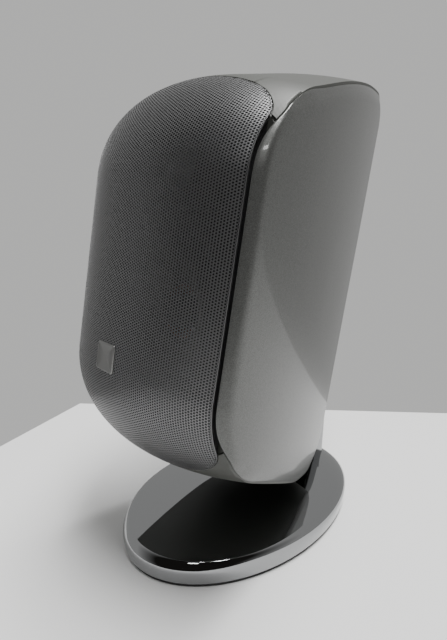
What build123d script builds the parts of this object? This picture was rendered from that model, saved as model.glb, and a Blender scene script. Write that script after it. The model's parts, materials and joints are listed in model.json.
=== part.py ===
"""Compact satellite loudspeaker leaning back on a tilting table stand.

World frame in millimetres: +Z up, the grille faces -Y, +X to the right of someone looking at
the grille from the front.  The origin is the centre of the base's underside, on the table.

The cabinet is drawn upright in its own frame (x across, s = depth behind the middle of the
grille along +Y, v = height about mid-height along +Z) and then leaned back onto the stand.
"""
import os
from math import cos, radians, sin, sqrt

from build123d import *

# ---- cabinet envelope ------------------------------------------------------------------
LEAN = 10.2                # degrees the cabinet leans back in the rest position
CAB_Y = -83.5              # world position of the cabinet frame's origin
CAB_Z = 154.55
HALF_WIDTH = 57.0          # widest point, at the front crease
CREASE_DEPTH = 20.8        # depth of that crease
REAR_HALF_WIDTH = 17.0
REAR_DEPTH = 160.0
TAPER_POWER = 1.6          # how late the sides turn in towards the rear
FRONT_BOW = 0.0064         # grille bow: depth = bow * x^2
TOP_CROWN = 0.0038         # top crown: drop = crown * x^2
LOW_CROWN = 0.0033         # bottom crown
FRONT_TOP = 76.4           # top line's height at the front
TOP_SLOPE = 0.37           # its rise behind the front
TOP_BREAK = (91.2, 108.6)  # where it flattens towards the rear
TOP_REAR = (161.0, 117.4)
FRONT_LOW = 79.0           # bottom line's depth at the front
LOW_SLOPE = 0.289
LOW_BREAK = (104.0, -109.0)
LOW_REAR = (151.0, -112.5)
FRONT_RADIUS = 53.0
TOP_BREAK_RADIUS = 300.0
REAR_TOP_RADIUS = 20.0
REAR_LOW_RADIUS = 25.0
LOW_BREAK_RADIUS = 90.0

# ---- walls -----------------------------------------------------------------------------
PANEL_THICK = 1.4
PANEL_STEP = 1.0           # the spine stands this far proud of the side panels
PANEL_FRONT_X = 52.4       # the front edge of each side panel
GRILLE_X = 51.3            # half width of the grille sheet
GRILLE_END = 29.0          # depth where the grille stops over the top and the bottom
GRILLE_THICK = 1.0
WALL = 3.6
BAFFLE_FRONT = 24.5
BAFFLE_THICK = 6.0

# ---- drive units and port --------------------------------------------------------------
WOOFER_V = -17.0
WOOFER_R = 46.0
TWEETER_V = 49.5
TWEETER_R = 17.5
PORT_V = 66.0
PORT_R = 9.0
PORT_REAR = 158.3
TERMINAL_V = 18.0
TERMINAL_SEAT = 153.6

# ---- stand -----------------------------------------------------------------------------
BASE_A = 52.5              # half width of the oval base
BASE_B = 79.0              # half length
BASE_LOW = 2.0
BASE_BAND = 9.4            # top of the near-vertical band
BASE_TOP = 13.6            # polished flat
FLAT_A = 47.9
FLAT_B = 65.6
FLAT_Y = -9.3
ARM_HALF = 9.5
ARM_FRONT = 59.0
ARM_REAR = 71.0
ARM_BEND_Z = 44.0
PIVOT_Y = 47.6
PIVOT_Z = 61.8
KNUCKLE_R = 7.2
PIN_R = 3.0
RUNNING = 0.06             # radial clearance of parts that turn or slide on each other
CHANNEL_HALF = 10.2
CHANNEL_FLOOR = 133.5

CABINET = Location((0, CAB_Y, CAB_Z), (-LEAN, 0, 0))


def cabinet_point(x, y, z):
    """World point given in the cabinet's own frame."""
    a = radians(LEAN)
    dy = y - CAB_Y
    dz = z - CAB_Z
    return (x, cos(a) * dy - sin(a) * dz, sin(a) * dy + cos(a) * dz)


PIVOT_S = cabinet_point(0, PIVOT_Y, PIVOT_Z)[1]
PIVOT_V = cabinet_point(0, PIVOT_Y, PIVOT_Z)[2]


def half_width(s):
    """Half width of the cabinet at depth s, in plan."""
    t = min(max((s - CREASE_DEPTH) / (REAR_DEPTH - CREASE_DEPTH), 0.0), 1.0)
    return REAR_HALF_WIDTH + (HALF_WIDTH - REAR_HALF_WIDTH) * (1.0 - t ** TAPER_POWER)


def rounded_outline(x, corners, radii):
    """Closed wire in the plane X = x through (s, v) corners, each rounded by its radius."""
    points = [Vector(x, s, v) for s, v in corners]
    count = len(points)
    arcs = []
    for i in range(count):
        here = points[i]
        back = (points[i - 1] - here).normalized()
        ahead = (points[(i + 1) % count] - here).normalized()
        half_cos = sqrt((1.0 + back.dot(ahead)) / 2.0)
        half_sin = sqrt((1.0 - back.dot(ahead)) / 2.0)
        reach = radii[i] * half_cos / half_sin
        middle = (back + ahead).normalized()
        centre = here + middle * (radii[i] / half_sin)
        arcs.append((here + back * reach, centre - middle * radii[i], here + ahead * reach))
    edges = []
    for i in range(count):
        start, mid, end = arcs[i]
        edges.append(ThreePointArc(start, mid, end))
        edges.append(Line(end, arcs[(i + 1) % count][0]))
    return Wire(edges)


def section(x, inset, edge_inset):
    """Side outline at lateral position x, pulled in by inset, and by edge_inset at its edges."""
    top_drop = TOP_CROWN * x * x + edge_inset
    low_drop = LOW_CROWN * x * x + edge_inset
    front = FRONT_BOW * x * x + inset
    corners = [
        (front, FRONT_TOP + TOP_SLOPE * front - top_drop),
        (TOP_BREAK[0], TOP_BREAK[1] - top_drop),
        (TOP_REAR[0] - inset, TOP_REAR[1] - top_drop),
        (LOW_REAR[0] - inset, LOW_REAR[1] + low_drop),
        (LOW_BREAK[0], LOW_BREAK[1] + low_drop),
        (front, -(FRONT_LOW + LOW_SLOPE * front) + low_drop),
    ]
    nose = FRONT_RADIUS - 0.0041 * x * x - inset
    radii = [
        nose,
        TOP_BREAK_RADIUS,
        REAR_TOP_RADIUS - inset,
        REAR_LOW_RADIUS - inset,
        LOW_BREAK_RADIUS,
        nose,
    ]
    return Face(rounded_outline(x, corners, radii))


def skin(inset, edge_inset=None):
    """Bowed and crowned body without its side surfaces."""
    edge = inset if edge_inset is None else edge_inset
    return loft([section(x, inset, edge) for x in (-60, -40, -20, 0, 20, 40, 60)])


def plan(inset, front=-5.0):
    """Plan region bounded by both side surfaces, as a tall prism."""
    depths = [CREASE_DEPTH, 34, 50, 70, 90, 110, 130, 148, REAR_DEPTH]
    right = [(half_width(s) - inset, s) for s in depths]
    left = [(-w, s) for w, s in reversed(right)]
    side_r = Spline([(w, s, 0) for w, s in right])
    side_l = Spline([(w, s, 0) for w, s in left])
    end = REAR_DEPTH + 6.0
    outline = Wire([
        Line((HALF_WIDTH - inset, front, 0), (HALF_WIDTH - inset, CREASE_DEPTH, 0)),
        side_r,
        Line((REAR_HALF_WIDTH - inset, REAR_DEPTH, 0), (REAR_HALF_WIDTH - inset, end, 0)),
        Line((REAR_HALF_WIDTH - inset, end, 0), (-REAR_HALF_WIDTH + inset, end, 0)),
        Line((-REAR_HALF_WIDTH + inset, end, 0), (-REAR_HALF_WIDTH + inset, REAR_DEPTH, 0)),
        side_l,
        Line((-HALF_WIDTH + inset, CREASE_DEPTH, 0), (-HALF_WIDTH + inset, front, 0)),
        Line((-HALF_WIDTH + inset, front, 0), (HALF_WIDTH - inset, front, 0)),
    ])
    return Pos(0, 0, -160) * extrude(Face(outline), 320, dir=(0, 0, 1))


def block(x0, x1, s0, s1, v0, v1):
    """Box between two corners of the current frame."""
    return Pos((x0 + x1) / 2, (s0 + s1) / 2, (v0 + v1) / 2) * Box(x1 - x0, s1 - s0, v1 - v0)


def rod(radius, s0, s1, v=0.0, x=0.0):
    """Cylinder along the cabinet's depth axis."""
    return Pos(x, (s0 + s1) / 2, v) * Rot(90, 0, 0) * Cylinder(radius, s1 - s0)


def turned(profile, v, x=0.0):
    """Solid of revolution about the depth axis from (radius, s) points."""
    face = make_face(Polyline([(r, s, 0) for r, s in profile], close=True))
    return Pos(x, 0, v) * revolve(face, Axis.Y)


def cross_pin(radius, x0, x1, s, v):
    """Cylinder along X."""
    return Pos((x0 + x1) / 2, s, v) * Rot(0, 90, 0) * Cylinder(radius, x1 - x0)


def upright(radius, z0, z1, x, y):
    """Cylinder along Z."""
    return Pos(x, y, (z0 + z1) / 2) * Cylinder(radius, z1 - z0)


def ring_of(radius, count, start=0.0):
    """Offsets (dx, dv) of equally spaced points on a circle."""
    step = 360.0 / count
    angles = [radians(start + step * k) for k in range(count)]
    return [(radius * cos(a), radius * sin(a)) for a in angles]


def tube_path(points, radius):
    """Round lead swept along a smooth path."""
    path = Spline([Vector(*p) for p in points])
    start = Plane(origin=path @ 0, z_dir=path % 0)
    return sweep(start * Circle(radius), path=path)


def build_cabinet():
    """Outer shell pieces, keyed by node name, in the cabinet frame."""
    parts = {}
    outer = skin(0.0)
    under = skin(GRILLE_THICK)
    back_half = block(-80, 80, GRILLE_END + 0.4, 200, -160, 160)
    front_sheet = block(-GRILLE_X, GRILLE_X, -10, GRILLE_END, -160, 160)
    parts["grille"] = (outer - under) & front_sheet

    frame_outer = under & block(-50.2, 50.2, -10, BAFFLE_FRONT, -160, 160)
    frame_inner = skin(3.4) & block(-46.5, 46.5, -20, 60, -160, 160)
    window = block(-44, 44, -20, 60, -57, 57)
    bars = block(-51, 51, -5, 60, 29.2, 31.8)
    solid_frame = frame_outer - (frame_inner - bars)
    opening = window - bars
    parts["grille_frame"] = solid_frame - opening

    shell_plan = plan(PANEL_THICK + 0.15)
    cap = outer & back_half & shell_plan
    rim = skin(GRILLE_THICK + 0.2) & shell_plan & block(-80, 80, BAFFLE_FRONT, GRILLE_END + 0.5, -160, 160)
    cavity = skin(WALL + 0.6) & plan(PANEL_THICK + WALL) & block(-80, 80, BAFFLE_FRONT - 1, 154.5, -160, 160)
    channel_box = block(-CHANNEL_HALF - 3.4, CHANNEL_HALF + 3.4, CHANNEL_FLOOR - 3.4, 170, -160, PIVOT_V + 13)
    channel = block(-CHANNEL_HALF, CHANNEL_HALF, CHANNEL_FLOOR, 175, -160, PIVOT_V + 9.4)
    cavity = cavity - channel_box
    port_bore = rod(PORT_R + 2.2, 140, 175, PORT_V) + rod(PORT_R + 3.6, PORT_REAR - 2.8, 175, PORT_V)
    terminal_pocket = block(-13.2, 13.2, TERMINAL_SEAT, 175, TERMINAL_V - 19, TERMINAL_V + 19)
    terminal_pocket = terminal_pocket + block(-9.8, 9.8, 140, 160, TERMINAL_V - 13.7, TERMINAL_V + 13.7)
    pin_bore = cross_pin(PIN_R, -13.4, 13.4, PIVOT_S, PIVOT_V)
    shell = (cap + rim) - cavity - channel - port_bore - terminal_pocket - pin_bore
    parts["cabinet_shell"] = shell

    panels = skin(0.0, PANEL_STEP) & plan(0.0)
    panels = panels - (skin(PANEL_THICK, -12.0) & plan(PANEL_THICK, -20.0))
    panels = panels - (plan(PANEL_THICK) & block(-80, 80, 30, 200, -160, 160))
    panels = panels - block(-PANEL_FRONT_X, PANEL_FRONT_X, -20, 45, -160, 160)
    panels = panels & block(-80, 80, -10, REAR_DEPTH - 2.5, -160, 160)
    parts["side_panel_right"] = panels & block(0, 80, -20, 200, -160, 160)
    parts["side_panel_left"] = panels & block(-80, 0, -20, 200, -160, 160)

    baffle = cavity & block(-80, 80, BAFFLE_FRONT, BAFFLE_FRONT + BAFFLE_THICK, -160, 160)
    baffle = baffle - rod(40.2, 20, 40, WOOFER_V) - rod(14.2, 20, 40, TWEETER_V)
    baffle = baffle - rod(WOOFER_R + 0.1, 20, BAFFLE_FRONT + 2.5, WOOFER_V)
    baffle = baffle - rod(TWEETER_R + 0.1, 20, BAFFLE_FRONT + 2.5, TWEETER_V)
    parts["baffle"] = baffle
    plaque = block(-6.2, 6.2, -5, 20, -43.6, -31.2)
    parts["badge"] = ((Pos(0, -0.7, 0) * outer) & plaque) - outer
    return parts


def build_woofer():
    """Bass/mid drive unit, in the cabinet frame."""
    v = WOOFER_V
    f = BAFFLE_FRONT
    parts = {}
    basket = turned([(WOOFER_R, f - 0.6), (WOOFER_R, f + 2.4), (40.0, f + 2.4), (38.4, f + 9.0),
                     (31.4, f + 20.0), (31.4, f + 28.0), (16.0, f + 28.0), (16.0, f + 26.0),
                     (27.0, f + 26.0), (27.0, f + 20.2), (29.2, f + 20.2), (29.2, f + 19.0),
                     (36.0, f + 8.6), (38.0, f + 1.6), (38.0, f - 0.6)], v)
    for dx, dv in ring_of(33.0, 6, 30.0):
        basket = basket - rod(5.6, f + 9.6, f + 18.4, v + dv, dx)
    screws = None
    holes = ring_of(43.0, 4, 45.0)
    for dx, dv in holes:
        head = rod(2.6, f - 2.0, f - 0.6, v + dv, dx) - rod(1.1, f - 2.1, f - 1.1, v + dv, dx)
        shank = rod(1.5, f - 0.6, f + 5.6, v + dv, dx)
        screw = head + shank
        basket = basket - shank
        screws = screw if screws is None else screws + screw
    parts["woofer_basket"] = basket
    parts["woofer_screws"] = screws
    parts["woofer_trim_ring"] = turned([(40.2, f - 1.0), (40.2, f - 2.2), (37.8, f - 2.2), (37.8, f - 1.0)], v)
    parts["woofer_surround"] = turned([(40.2, f - 0.6), (40.2, f - 1.0), (37.8, f - 1.0), (37.0, f - 2.6),
                                       (35.2, f - 3.4), (33.4, f - 2.6), (32.4, f - 0.2), (29.9, f + 0.1),
                                       (29.9, f + 0.5), (32.8, f + 0.3), (33.8, f - 2.1), (35.2, f - 2.8),
                                       (36.6, f - 2.1), (37.4, f - 0.6)], v)
    parts["woofer_cone"] = turned([(31.6, f + 0.5), (29.8, f + 0.5), (13.6, f + 13.4), (12.9, f + 16.0),
                                   (12.9, f + 17.0), (13.6, f + 17.0), (14.2, f + 13.9), (30.1, f + 1.0),
                                   (31.6, f + 1.0)], v)
    parts["woofer_phase_plug"] = turned([(0.0, f + 1.5), (2.6, f + 2.4), (5.2, f + 6.0), (7.6, f + 12.0),
                                         (8.2, f + 18.0), (8.2, f + 28.5), (0.0, f + 28.5)], v)
    parts["woofer_voice_coil"] = turned([(12.9, f + 15.4), (12.9, f + 34.0), (12.3, f + 34.0),
                                         (12.3, f + 15.4)], v)
    parts["woofer_spider"] = turned([(12.9, f + 17.4), (16.0, f + 18.0), (19.0, f + 17.4), (22.0, f + 18.0),
                                     (25.0, f + 18.4), (27.2, f + 19.7), (29.2, f + 19.7), (29.2, f + 20.2),
                                     (27.0, f + 20.2), (24.8, f + 18.9), (22.0, f + 18.5), (19.0, f + 17.9),
                                     (16.0, f + 18.5), (12.9, f + 17.9)], v)
    parts["woofer_top_plate"] = turned([(30.0, f + 28.0), (30.0, f + 32.5), (13.2, f + 32.5),
                                        (13.2, f + 28.0)], v)
    parts["woofer_magnet"] = turned([(32.5, f + 32.5), (32.5, f + 46.5), (15.5, f + 46.5),
                                     (15.5, f + 32.5)], v)
    parts["woofer_back_plate"] = turned([(31.0, f + 46.5), (31.0, f + 51.5), (0.0, f + 51.5), (0.0, f + 28.5),
                                         (11.9, f + 28.5), (11.9, f + 46.5)], v)
    return parts


def build_tweeter():
    """Tube-loaded dome tweeter, in the cabinet frame."""
    v = TWEETER_V
    f = BAFFLE_FRONT
    parts = {}
    face = turned([(TWEETER_R, f - 0.6), (TWEETER_R, f + 2.4), (14.0, f + 2.4), (14.0, f + 4.0),
                   (12.6, f + 4.0), (12.6, f + 0.2), (14.6, f - 0.6)], v)
    screws = None
    for dx, dv in ring_of(15.9, 3, 90.0):
        head = rod(1.2, f - 1.6, f - 0.6, v + dv, dx)
        shank = rod(0.8, f - 0.6, f + 5.4, v + dv, dx)
        face = face - shank
        screw = head + shank
        screws = screw if screws is None else screws + screw
    parts["tweeter_faceplate"] = face
    parts["tweeter_screws"] = screws
    parts["tweeter_dome"] = turned([(0.0, f - 3.0), (4.0, f - 2.5), (8.0, f - 0.9), (11.0, f + 1.8),
                                    (12.3, f + 2.0), (12.3, f + 2.3), (10.8, f + 2.3), (7.8, f - 0.5),
                                    (4.0, f - 2.1), (0.0, f - 2.6)], v)
    parts["tweeter_motor"] = turned([(13.9, f + 4.0), (13.9, f + 16.0), (5.0, f + 16.0), (5.0, f + 4.4),
                                     (12.5, f + 4.4), (12.5, f + 4.0)], v)
    parts["tweeter_tube"] = turned([(8.6, f + 16.0), (8.0, f + 26.0), (5.6, f + 46.0), (2.8, f + 62.0),
                                    (0.0, f + 64.0), (0.0, f + 62.6), (2.0, f + 60.6), (4.6, f + 45.6),
                                    (6.8, f + 26.0), (7.2, f + 16.0)], v)
    return parts


def build_fittings():
    """Port, terminals, crossover, leads and damping, in the cabinet frame."""
    parts = {}
    v = PORT_V
    rear = PORT_REAR
    parts["port_tube"] = turned([(PORT_R, 96.0), (PORT_R, rear - 7.0), (PORT_R + 1.2, rear - 2.4),
                                 (PORT_R + 3.6, rear), (PORT_R + 3.6, rear - 2.8),
                                 (PORT_R + 2.2, rear - 2.8), (PORT_R + 2.2, 96.0)], v)

    t = TERMINAL_V
    seat = TERMINAL_SEAT
    face = seat + 2.6
    plate = block(-13.0, 13.0, seat, face, t - 18.8, t + 18.8)
    plate = plate + block(-9.6, 9.6, seat - 7.6, seat, t - 13.5, t + 13.5)
    screws = None
    springs = None
    contacts = None
    for dv in (-6.6, 6.6):
        plate = plate - block(-8.6, 0.4, face - 5.0, 165, t + dv - 5.0, t + dv + 5.0)
        plate = plate - rod(2.1, seat - 5.6, 170, t + dv, 5.4)
        spring = rod(3.0, face - 4.9, face - 1.5, t + dv, -4.1) - rod(2.3, 140, 170, t + dv, -4.1)
        contact = block(1.4, 8.4, seat - 9.0, seat - 7.6, t + dv - 3.2, t + dv + 3.2)
        springs = spring if springs is None else springs + spring
        contacts = contact if contacts is None else contacts + contact
    for dv in (-16.2, 16.2):
        shank = rod(1.3, seat - 1.2, face, t + dv) + rod(2.3, face, face + 1.3, t + dv)
        shank = shank - rod(0.9, face + 0.6, 170, t + dv)
        plate = plate - rod(1.3, 140, 170, t + dv)
        screws = shank if screws is None else screws + shank
    parts["terminal_plate"] = plate
    parts["terminal_screws"] = screws
    parts["terminal_springs"] = springs
    parts["terminal_contacts"] = contacts
    for name, dv in (("positive", 6.6), ("negative", -6.6)):
        key = block(-8.3, 0.1, face - 1.4, face + 3.4, t + dv - 4.7, t + dv + 4.7)
        parts["terminal_button_" + name] = key

    c = -66.5
    parts["crossover_board"] = block(-33, 33, 36.0, 37.6, c - 11, c + 11)
    parts["crossover_inductor"] = turned([(11.0, 37.6), (11.0, 48.6), (5.0, 48.6), (5.0, 37.6)], c, -19.0)
    parts["crossover_capacitors"] = (cross_pin(5.0, -4.0, 14.0, 42.6, c + 6.2)
                                     + cross_pin(4.0, -4.0, 14.0, 41.6, c - 5.2))
    parts["crossover_resistor"] = block(17.5, 30.0, 37.6, 44.0, c - 3.5, c + 3.5)
    posts = None
    for x in (-29.0, 29.0):
        post = rod(2.6, BAFFLE_FRONT + BAFFLE_THICK, 36.0, c + 9.0, x)
        posts = post if posts is None else posts + post
    parts["crossover_posts"] = posts

    parts["lead_input"] = tube_path([(5, seat - 10.2, t), (6, 132, 0), (10, 110, -38), (12, 84, -56),
                                     (9, 60, -66), (1, 46.0, c)], 1.2)
    parts["lead_tweeter"] = tube_path([(27, 39.0, c + 9), (38, 46, -44), (42, 52, 0), (34, 48, 34),
                                       (15.6, 38.0, 47.0)], 1.0)
    wadding = skin(WALL + 2.0) & plan(PANEL_THICK + WALL + 1.4) & block(-80, 80, 92, 136, -46, 50)
    wadding = wadding - block(-4, 22, 90, 140, -60, 8)
    parts["damping_wadding"] = wadding - rod(3.6, 60, 92, TWEETER_V)
    return parts


def build_pivot():
    """Pin and friction washers that stay with the cabinet, in the cabinet frame."""
    s = PIVOT_S
    v = PIVOT_V
    washers = None
    for side in (-1, 1):
        low = side * (ARM_HALF + 0.05)
        high = side * CHANNEL_HALF
        ring = cross_pin(6.0, min(low, high), max(low, high), s, v)
        ring = ring - cross_pin(PIN_R, min(low, high), max(low, high), s, v)
        washers = ring if washers is None else washers + ring
    return {"pivot_pin": cross_pin(PIN_R, -13.4, 13.4, s, v), "friction_washers": washers}


def oval(a, b, y, z):
    """Ellipse face at height z."""
    return Pos(0, y, z) * Ellipse(a, b)


def build_stand():
    """Oval base with its arm, in world coordinates."""
    parts = {}
    band = loft([oval(BASE_A - 0.5, BASE_B - 0.5, 0, BASE_LOW), oval(BASE_A, BASE_B, 0, BASE_BAND)])
    bevel = loft([oval(BASE_A, BASE_B, 0, BASE_BAND), oval(50.9, 74.2, -3.0, BASE_TOP - 1.4),
                  oval(FLAT_A, FLAT_B, FLAT_Y, BASE_TOP)])
    plate = band + bevel
    pocket = extrude(oval(42.0, 50.0, -8.0, BASE_LOW), 6.4)
    groove = extrude(oval(46.0, 72.5, 0, BASE_LOW), 0.8)

    lower = Pos(0, (ARM_FRONT + ARM_REAR) / 2, (5.0 + ARM_BEND_Z) / 2) * Box(
        2 * ARM_HALF, ARM_REAR - ARM_FRONT, ARM_BEND_Z - 5.0)
    lower = fillet(lower.edges().filter_by(Axis.Z), 2.0)
    knee_y = (ARM_FRONT + ARM_REAR) / 2
    knuckle = Pos(PIVOT_Y, PIVOT_Z) * Circle(KNUCKLE_R)
    knee = Pos(knee_y, ARM_BEND_Z) * Circle((ARM_REAR - ARM_FRONT) / 2)
    hull = make_hull([knuckle.edges()[0], knee.edges()[0]])
    upper = Plane(origin=(-ARM_HALF, 0, 0), x_dir=(0, 1, 0), z_dir=(1, 0, 0)) * extrude(hull, 2 * ARM_HALF)
    arm = lower + upper
    arm = arm - cross_pin(PIN_R + RUNNING, -20, 20, PIVOT_Y, PIVOT_Z)
    screws = None
    holes = None
    for x in (-5.0, 5.0):
        head = upright(3.4, 2.2, 4.2, x, knee_y) - upright(1.5, 1.0, 3.2, x, knee_y)
        shank = upright(1.9, 4.2, 15.0, x, knee_y)
        arm = arm - shank
        recess = upright(3.8, 1.0, 4.2, x, knee_y) + upright(1.9, 4.2, 6.0, x, knee_y)
        screws = head + shank if screws is None else screws + head + shank
        holes = recess if holes is None else holes + recess
    plate = plate - pocket - groove - lower - holes
    parts["base_plate"] = plate
    parts["stand_arm"] = arm
    parts["arm_screws"] = screws
    parts["base_ballast"] = extrude(oval(41.8, 49.8, -8.0, BASE_LOW + 0.8), 5.6)
    parts["foot_pad"] = extrude(oval(BASE_A - 1.6, BASE_B - 1.6, 0, 0), BASE_LOW)
    parts["base_cover"] = extrude(oval(45.9, 72.4, 0, BASE_LOW), 0.8) - holes
    return parts


def main():
    os.makedirs("parts", exist_ok=True)
    cabinet = {}
    cabinet.update(build_cabinet())
    cabinet.update(build_woofer())
    cabinet.update(build_tweeter())
    cabinet.update(build_fittings())
    cabinet.update(build_pivot())
    cabinet["baffle"] = cabinet["baffle"] - cabinet["woofer_screws"] - cabinet["tweeter_screws"]
    cabinet["cabinet_shell"] = cabinet["cabinet_shell"] - cabinet["terminal_screws"]
    cabinet["damping_wadding"] = cabinet["damping_wadding"] - cabinet["lead_input"]
    for name, shape in cabinet.items():
        export_step(CABINET * shape, f"parts/{name}.step")
    for name, shape in build_stand().items():
        export_step(shape, f"parts/{name}.step")


if __name__ == "__main__":
    main()
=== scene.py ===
"""Visual model of a compact satellite loudspeaker leaning back on an oval polished stand.

Every length is in metres in the shared frame: +Z up, the grille faces -Y and the origin is the
centre of the base's underside.  The cabinet's own frame is (x, s, v): s is the depth behind
the middle of the grille and v the height about mid-height, both before the cabinet leans back.
"""
from __future__ import annotations

import json
import logging
import math
from dataclasses import dataclass, field
from enum import Enum

import bmesh
import bpy
import numpy as np
from mathutils import Euler, Matrix, Vector

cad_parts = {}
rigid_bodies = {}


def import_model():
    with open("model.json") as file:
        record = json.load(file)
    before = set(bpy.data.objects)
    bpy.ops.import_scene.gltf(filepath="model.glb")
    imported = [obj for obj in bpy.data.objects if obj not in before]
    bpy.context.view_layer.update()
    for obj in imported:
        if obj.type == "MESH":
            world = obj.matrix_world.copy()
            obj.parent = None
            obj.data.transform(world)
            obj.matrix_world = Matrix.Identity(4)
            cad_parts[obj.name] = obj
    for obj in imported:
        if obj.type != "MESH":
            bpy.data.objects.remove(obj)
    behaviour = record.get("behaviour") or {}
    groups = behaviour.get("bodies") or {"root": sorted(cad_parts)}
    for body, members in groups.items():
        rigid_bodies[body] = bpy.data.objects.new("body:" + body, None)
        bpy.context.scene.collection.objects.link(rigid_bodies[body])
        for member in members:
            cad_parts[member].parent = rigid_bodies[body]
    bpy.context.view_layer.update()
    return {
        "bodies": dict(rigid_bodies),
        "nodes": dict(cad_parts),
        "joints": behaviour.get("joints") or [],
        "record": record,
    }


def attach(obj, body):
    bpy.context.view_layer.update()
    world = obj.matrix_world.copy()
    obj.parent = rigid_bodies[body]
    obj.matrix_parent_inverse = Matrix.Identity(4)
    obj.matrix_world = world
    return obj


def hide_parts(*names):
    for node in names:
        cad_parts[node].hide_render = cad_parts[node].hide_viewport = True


LOG = logging.getLogger("loudspeaker")
MM = 0.001

Point = tuple[float, float, float]
Color = tuple[float, float, float]


class Body(Enum):
    """CAD bodies that visual pieces ride on."""

    STAND = "stand"
    CABINET = "cabinet"


# --------------------------------------------------------------------------- shader effects


class EffectLibrary:
    """Shader node groups shared by several finishes."""

    GRAIN = "FineGrain"
    FLAKE = "MetalFlake"

    def __init__(self) -> None:
        """Builds each group once."""
        self.groups = {self.GRAIN: self._grain(), self.FLAKE: self._flake()}

    @staticmethod
    def _new(name: str, inputs: list[tuple[str, str, float]], outputs: list[tuple[str, str]]):
        """Makes an empty group with named sockets.

        Args:
            name: name of the group.
            inputs: (socket name, socket type, default) of each input.
            outputs: (socket name, socket type) of each output.

        Returns:
            The group with its input node and its output node.
        """
        group = bpy.data.node_groups.new(name, "ShaderNodeTree")
        for label, kind, default in inputs:
            socket = group.interface.new_socket(label, in_out="INPUT", socket_type=kind)
            if kind == "NodeSocketFloat":
                socket.default_value = default
        for label, kind in outputs:
            group.interface.new_socket(label, in_out="OUTPUT", socket_type=kind)
        return group, group.nodes.new("NodeGroupInput"), group.nodes.new("NodeGroupOutput")

    def _grain(self):
        """Soft variation of roughness with a fine surface height.

        Returns:
            The node group.
        """
        group, source, target = self._new(
            self.GRAIN,
            [("Scale", "NodeSocketFloat", 400.0), ("Roughness", "NodeSocketFloat", 0.5),
             ("Spread", "NodeSocketFloat", 0.05)],
            [("Roughness", "NodeSocketFloat"), ("Height", "NodeSocketFloat")],
        )
        links = group.links
        where = group.nodes.new("ShaderNodeTexCoord")
        fine = group.nodes.new("ShaderNodeTexNoise")
        fine.inputs["Detail"].default_value = 2.0
        broad = group.nodes.new("ShaderNodeTexNoise")
        broad.inputs["Scale"].default_value = 24.0
        broad.inputs["Detail"].default_value = 3.0
        centred = group.nodes.new("ShaderNodeMath")
        centred.operation = "SUBTRACT"
        centred.inputs[1].default_value = 0.5
        scaled = group.nodes.new("ShaderNodeMath")
        scaled.operation = "MULTIPLY"
        total = group.nodes.new("ShaderNodeMath")
        total.operation = "ADD"
        total.use_clamp = True
        links.new(where.outputs["Object"], fine.inputs["Vector"])
        links.new(where.outputs["Object"], broad.inputs["Vector"])
        links.new(source.outputs["Scale"], fine.inputs["Scale"])
        links.new(broad.outputs["Fac"], centred.inputs[0])
        links.new(centred.outputs[0], scaled.inputs[0])
        links.new(source.outputs["Spread"], scaled.inputs[1])
        links.new(scaled.outputs[0], total.inputs[0])
        links.new(source.outputs["Roughness"], total.inputs[1])
        links.new(total.outputs[0], target.inputs["Roughness"])
        links.new(fine.outputs["Fac"], target.inputs["Height"])
        return group

    def _flake(self):
        """Tiny bright flakes of a metallic lacquer.

        Returns:
            The node group.
        """
        group, source, target = self._new(
            self.FLAKE,
            [("Scale", "NodeSocketFloat", 5000.0), ("Base", "NodeSocketColor", 0.0),
             ("Flake", "NodeSocketColor", 0.0), ("Amount", "NodeSocketFloat", 0.2)],
            [("Color", "NodeSocketColor"), ("Mask", "NodeSocketFloat")],
        )
        links = group.links
        where = group.nodes.new("ShaderNodeTexCoord")
        cells = group.nodes.new("ShaderNodeTexVoronoi")
        split = group.nodes.new("ShaderNodeSeparateColor")
        amount = group.nodes.new("ShaderNodeMath")
        amount.operation = "MULTIPLY"
        mix = group.nodes.new("ShaderNodeMix")
        mix.data_type = "RGBA"
        links.new(where.outputs["Object"], cells.inputs["Vector"])
        links.new(source.outputs["Scale"], cells.inputs["Scale"])
        links.new(cells.outputs["Color"], split.inputs["Color"])
        links.new(split.outputs["Red"], amount.inputs[0])
        links.new(source.outputs["Amount"], amount.inputs[1])
        links.new(amount.outputs[0], mix.inputs["Factor"])
        links.new(source.outputs["Base"], mix.inputs[6])
        links.new(source.outputs["Flake"], mix.inputs[7])
        links.new(mix.outputs[2], target.inputs["Color"])
        links.new(amount.outputs[0], target.inputs["Mask"])
        return group


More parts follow.
